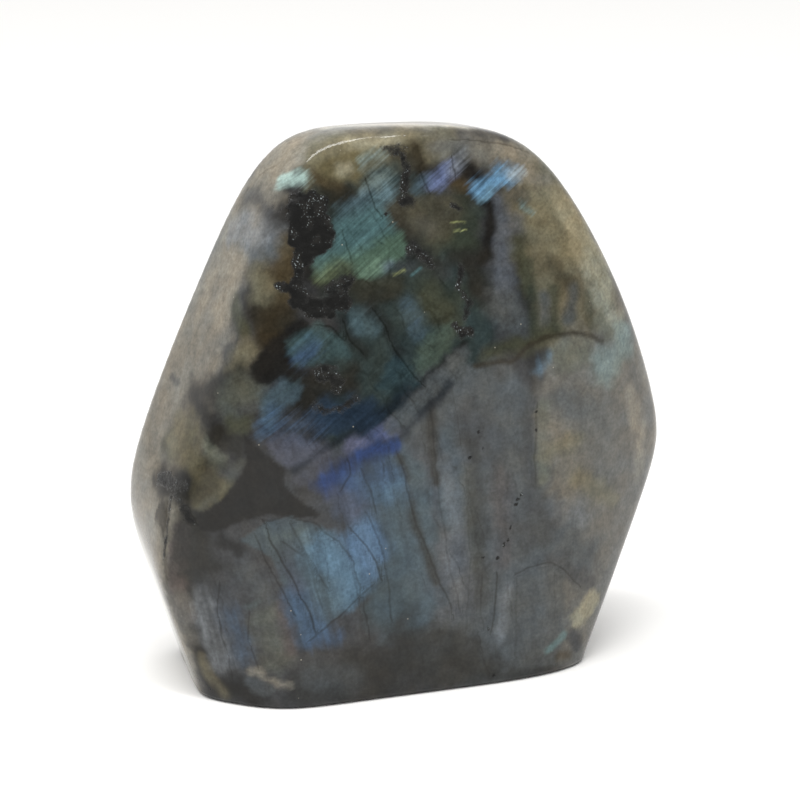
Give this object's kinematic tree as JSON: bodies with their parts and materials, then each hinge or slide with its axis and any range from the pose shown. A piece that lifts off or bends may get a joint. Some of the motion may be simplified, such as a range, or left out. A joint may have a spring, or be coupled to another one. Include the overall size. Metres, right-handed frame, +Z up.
{
  "type": "polished labradorite free-form",
  "caption": "Upright polished labradorite stone with ground flats, worn round edges, a low crest across its display face and a sawn flat foot to stand on.",
  "frame": {"origin": "on the sawn foot, under the middle of the stone's box", "axes": "+Z up from the foot, -Y out of the broad display face, +X to the right of someone who looks at that face"},
  "size_m": [0.1002, 0.043, 0.1038],
  "materials": {
    "labradorite": "hand-polished feldspar, dark grey with blue, teal and violet flashes and pale grey-olive flanks"
  },
  "bodies": {
    "root": {"labradorite": "labradorite"}
  },
  "joints": []
}
